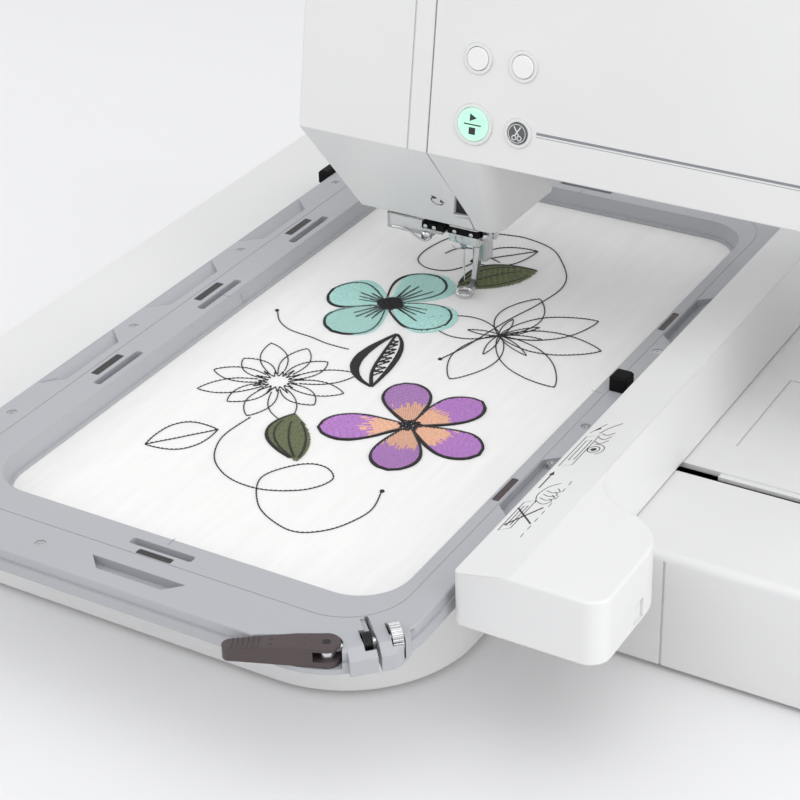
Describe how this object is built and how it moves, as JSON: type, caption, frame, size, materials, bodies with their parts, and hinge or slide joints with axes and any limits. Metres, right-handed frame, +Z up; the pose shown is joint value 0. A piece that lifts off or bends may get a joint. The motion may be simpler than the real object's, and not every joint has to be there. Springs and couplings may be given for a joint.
{
  "type": "embroidery machine",
  "caption": "Household embroidery machine: arm with needle and push buttons over a flat bed, long clamped hoop carried by a sliding bar, and a side extension table.",
  "frame": {"origin": "at the floor, in the middle of the footprint", "axes": "+X to the machine's right along its arm, +Y to its back, +Z up"},
  "size_m": [0.662, 0.5668, 0.312],
  "materials": {
    "shell_white": "satin white moulded shell",
    "hoop_gray": "satin blue-gray moulded plastic",
    "lever_taupe": "satin taupe moulded plastic",
    "black_plastic": "satin black",
    "magnet_black": "dark coated magnets",
    "bright_steel": "bright plated steel",
    "dark_steel": "dark zinc",
    "frame_alloy": "as cast",
    "motor_black": "black paint",
    "belt_rubber": "matt",
    "clear_plastic": "clear gloss",
    "button_green": "lit pale green",
    "button_gray": "dark gray gloss",
    "button_white": "white gloss",
    "screen_dark": "dark glass-like screen",
    "board_green": "solder mask",
    "cloth_white": "plain woven cloth on stabiliser"
  },
  "bodies": {
    "machine": {"base_cover": "shell_white", "base_tray": "dark_steel", "rubber_feet": "belt_rubber", "extension_table": "shell_white", "needle_plate": "bright_steel", "machine_frame": "frame_alloy", "column_cover": "shell_white", "arm_front_cover": "shell_white", "arm_rear_cover": "shell_white", "touch_screen": "screen_dark", "main_motor": "motor_black", "drive_belt": "belt_rubber", "x_motor": "motor_black", "x_guide_rods": "bright_steel", "x_belt": "belt_rubber", "circuit_board": "board_green", "power_inlet": "black_plastic", "bobbin_case": "dark_steel", "spool_pin": "button_white"},
    "face_cover": {"face_cover": "shell_white"},
    "top_lid": {"top_lid": "shell_white"},
    "start_stop_button": {"start_stop_button": "button_green"},
    "thread_cutter_button": {"thread_cutter_button": "button_gray"},
    "needle_position_button": {"needle_position_button": "button_white"},
    "presser_foot_button": {"presser_foot_button": "button_white"},
    "power_switch": {"power_switch": "black_plastic"},
    "main_shaft": {"main_shaft": "bright_steel", "handwheel": "button_white"},
    "lower_shaft": {"lower_shaft": "bright_steel"},
    "rotary_hook": {"rotary_hook": "bright_steel"},
    "bobbin": {"bobbin": "clear_plastic"},
    "bobbin_cover": {"bobbin_cover": "clear_plastic"},
    "take_up_lever": {"take_up_lever": "bright_steel"},
    "needle_bar": {"needle_bar": "bright_steel", "needle": "bright_steel"},
    "presser": {"presser_bar": "bright_steel", "embroidery_foot": "bright_steel"},
    "needle_threader": {"needle_threader": "clear_plastic"},
    "x_pulley": {"x_pulley": "dark_steel"},
    "x_idler": {"x_idler": "dark_steel"},
    "carriage": {"carriage_cover": "shell_white", "carriage_plate": "dark_steel", "y_guide_rod": "bright_steel", "y_motor": "motor_black", "y_belt": "belt_rubber"},
    "y_pulley": {"y_pulley": "dark_steel"},
    "y_idler": {"y_idler": "dark_steel"},
    "hoop": {"outer_ring": "hoop_gray", "inner_ring": "hoop_gray", "ring_magnets": "magnet_black", "ring_plates": "lever_taupe", "ring_screws": "bright_steel", "ring_stop": "black_plastic", "hooped_fabric": "cloth_white", "hoop_bracket": "bright_steel", "clamp_screw": "bright_steel", "clamp_spring": "dark_steel"},
    "hoop_lock_knob": {"hoop_lock_knob": "black_plastic"},
    "clamp_lever": {"clamp_lever": "lever_taupe"},
    "clamp_nut": {"clamp_nut": "bright_steel"}
  },
  "joints": [
    {"name": "face_cover_hinge", "type": "hinge", "parent": "machine", "child": "face_cover", "pos_m": [-0.19, 0.0948, 0.209], "axis": [0, 0, -1], "range_deg": [0, 100]},
    {"name": "top_lid_hinge", "type": "hinge", "parent": "machine", "child": "top_lid", "pos_m": [-0.01, 0.1575, 0.312], "axis": [-1, 0, 0], "range_deg": [0, 80]},
    {"name": "start_stop_press", "type": "slide", "parent": "machine", "child": "start_stop_button", "axis": [0, 0.9859, -0.1676], "range_m": [0, 0.002], "stiffness_N_per_m": 400, "springref_m": -0.0005},
    {"name": "thread_cutter_press", "type": "slide", "parent": "machine", "child": "thread_cutter_button", "axis": [0, 0.9859, -0.1676], "range_m": [0, 0.002], "stiffness_N_per_m": 400, "springref_m": -0.0005},
    {"name": "needle_position_press", "type": "slide", "parent": "machine", "child": "needle_position_button", "axis": [0, 0.9859, -0.1676], "range_m": [0, 0.002], "stiffness_N_per_m": 400, "springref_m": -0.0005},
    {"name": "presser_foot_press", "type": "slide", "parent": "machine", "child": "presser_foot_button", "axis": [0, 0.9859, -0.1676], "range_m": [0, 0.002], "stiffness_N_per_m": 400, "springref_m": -0.0005},
    {"name": "power_rocker", "type": "hinge", "parent": "machine", "child": "power_switch", "pos_m": [0.3115, 0.142, 0.094], "axis": [0, -1, 0], "range_deg": [0, 16]},
    {"name": "handwheel_turn", "type": "hinge", "parent": "machine", "child": "main_shaft", "pos_m": [0, 0.095, 0.265], "axis": [1, 0, 0], "continuous": true},
    {"name": "lower_shaft_turn", "type": "hinge", "parent": "machine", "child": "lower_shaft", "pos_m": [0, 0.07, 0.024], "axis": [1, 0, 0], "continuous": true},
    {"name": "hook_turn", "type": "hinge", "parent": "machine", "child": "rotary_hook", "pos_m": [-0.117, 0.048, 0.05], "axis": [0, 0, 1], "continuous": true},
    {"name": "bobbin_spin", "type": "hinge", "parent": "machine", "child": "bobbin", "pos_m": [-0.117, 0.048, 0.054], "axis": [0, 0, 1], "continuous": true},
    {"name": "bobbin_cover_lift", "type": "slide", "parent": "machine", "child": "bobbin_cover", "axis": [0, 0, 1], "range_m": [0, 0.003]},
    {"name": "take_up_swing", "type": "hinge", "parent": "machine", "child": "take_up_lever", "pos_m": [-0.111, 0.086, 0.238], "axis": [1, 0, 0], "range_deg": [-25, 20]},
    {"name": "needle_bar_slide", "type": "slide", "parent": "machine", "child": "needle_bar", "axis": [0, 0, 1], "range_m": [-0.029, 0.002], "deforming": ["hooped_fabric"]},
    {"name": "presser_lift", "type": "slide", "parent": "machine", "child": "presser", "axis": [0, 0, 1], "range_m": [0, 0.008]},
    {"name": "threader_lower", "type": "slide", "parent": "machine", "child": "needle_threader", "axis": [0, 0, 1], "range_m": [-0.012, 0], "stiffness_N_per_m": 100, "springref_m": 0.002},
    {"name": "carriage_x", "type": "slide", "parent": "machine", "child": "carriage", "axis": [1, 0, 0], "range_m": [-0.097, 0.094]},
    {"name": "x_pulley_turn", "type": "hinge", "parent": "machine", "child": "x_pulley", "pos_m": [0.196, -0.025, 0.02], "axis": [0, 1, 0], "range_deg": [-930, 900]},
    {"name": "x_idler_turn", "type": "hinge", "parent": "machine", "child": "x_idler", "pos_m": [-0.116, -0.025, 0.02], "axis": [0, 1, 0], "range_deg": [-930, 900]},
    {"name": "hoop_y", "type": "slide", "parent": "carriage", "child": "hoop", "axis": [0, 1, 0], "range_m": [-0.1, 0.26]},
    {"name": "y_pulley_turn", "type": "hinge", "parent": "carriage", "child": "y_pulley", "pos_m": [0.053, -0.18, 0.078], "axis": [-1, 0, 0], "range_deg": [-1435, 3727]},
    {"name": "y_idler_turn", "type": "hinge", "parent": "carriage", "child": "y_idler", "pos_m": [0.053, 0.274, 0.078], "axis": [-1, 0, 0], "range_deg": [-1435, 3727]},
    {"name": "hoop_lock_turn", "type": "hinge", "parent": "hoop", "child": "hoop_lock_knob", "pos_m": [0.0136, -0.0033, 0.086], "axis": [0, 0, 1], "range_deg": [0, 90]},
    {"name": "clamp_lever_swing", "type": "hinge", "parent": "hoop", "child": "clamp_lever", "pos_m": [-0.00509, -0.26191, 0.078], "axis": [0, 0, 1], "range_deg": [0, 95]},
    {"name": "clamp_nut_turn", "type": "hinge", "parent": "hoop", "child": "clamp_nut", "pos_m": [0.01648, -0.24034, 0.0785], "axis": [0.7071, 0.7071, 0], "range_deg": [-540, 540]}
  ],
  "couplings": [
    {"joint": "lower_shaft_turn", "follows": "handwheel_turn", "ratio": 1},
    {"joint": "hook_turn", "follows": "handwheel_turn", "ratio": 2},
    {"joint": "x_pulley_turn", "follows": "carriage_x", "rad_per_m": 166.67},
    {"joint": "x_idler_turn", "follows": "carriage_x", "rad_per_m": 166.67},
    {"joint": "y_pulley_turn", "follows": "hoop_y", "rad_per_m": 250},
    {"joint": "y_idler_turn", "follows": "hoop_y", "rad_per_m": 250}
  ]
}
